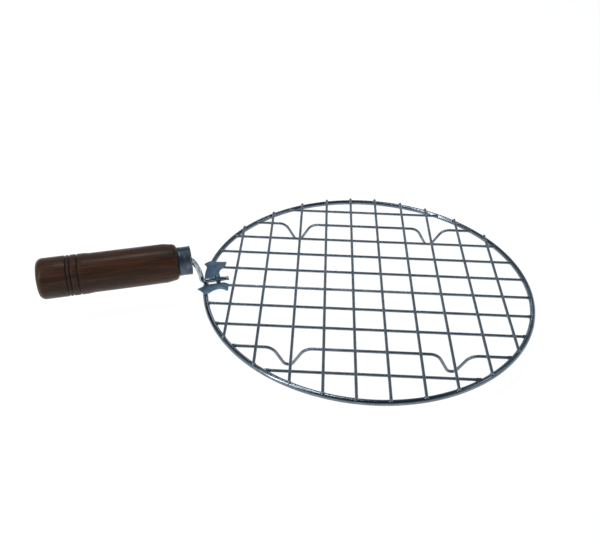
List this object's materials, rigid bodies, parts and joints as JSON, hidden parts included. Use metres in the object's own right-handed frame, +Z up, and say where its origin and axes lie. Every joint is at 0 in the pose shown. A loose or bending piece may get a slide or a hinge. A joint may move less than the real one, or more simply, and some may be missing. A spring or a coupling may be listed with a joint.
{
  "type": "roti grill",
  "caption": "Round wire grill on bent wire feet, with a scalloped hinge plate and a turned wooden handle that folds up over the mesh.",
  "frame": {"origin": "under the ring's centre, on the plane that the four wire feet stand on", "axes": "+X along the lengthwise wires, away from the handle; +Y along the crosswise wires, to their far ends; +Z up"},
  "size_m": [0.3485, 0.24, 0.0524],
  "materials": {
    "ring_steel": "bright plated drawn steel wire, slightly dulled",
    "wire_steel": "bright plated drawn steel wire, slightly dulled",
    "plate_steel": "rolled steel sheet, lightly scratched",
    "wood": "turned hardwood, dark red-brown stain under worn lacquer"
  },
  "bodies": {
    "grill": {"rim_ring": "ring_steel", "long_wire_1": "wire_steel", "long_wire_3": "wire_steel", "long_wire_4": "wire_steel", "long_wire_5": "wire_steel", "long_wire_6": "wire_steel", "long_wire_7": "wire_steel", "long_wire_8": "wire_steel", "long_wire_10": "wire_steel", "foot_wire_far": "wire_steel", "foot_wire_near": "wire_steel", "cross_wire_1": "wire_steel", "cross_wire_2": "wire_steel", "cross_wire_3": "wire_steel", "cross_wire_4": "wire_steel", "cross_wire_5": "wire_steel", "cross_wire_6": "wire_steel", "cross_wire_7": "wire_steel", "cross_wire_8": "wire_steel", "cross_wire_9": "wire_steel", "cross_wire_10": "wire_steel", "hinge_bracket": "plate_steel"},
    "handle": {"handle_rod": "wire_steel", "ferrule": "plate_steel", "wooden_grip": "wood"}
  },
  "joints": [
    {"name": "handle_fold", "type": "hinge", "parent": "grill", "child": "handle", "pos_m": [-0.10914, -0.00639, 0.02227], "axis": [-0.2902, 0.957, 0], "range_deg": [0, 130]}
  ]
}
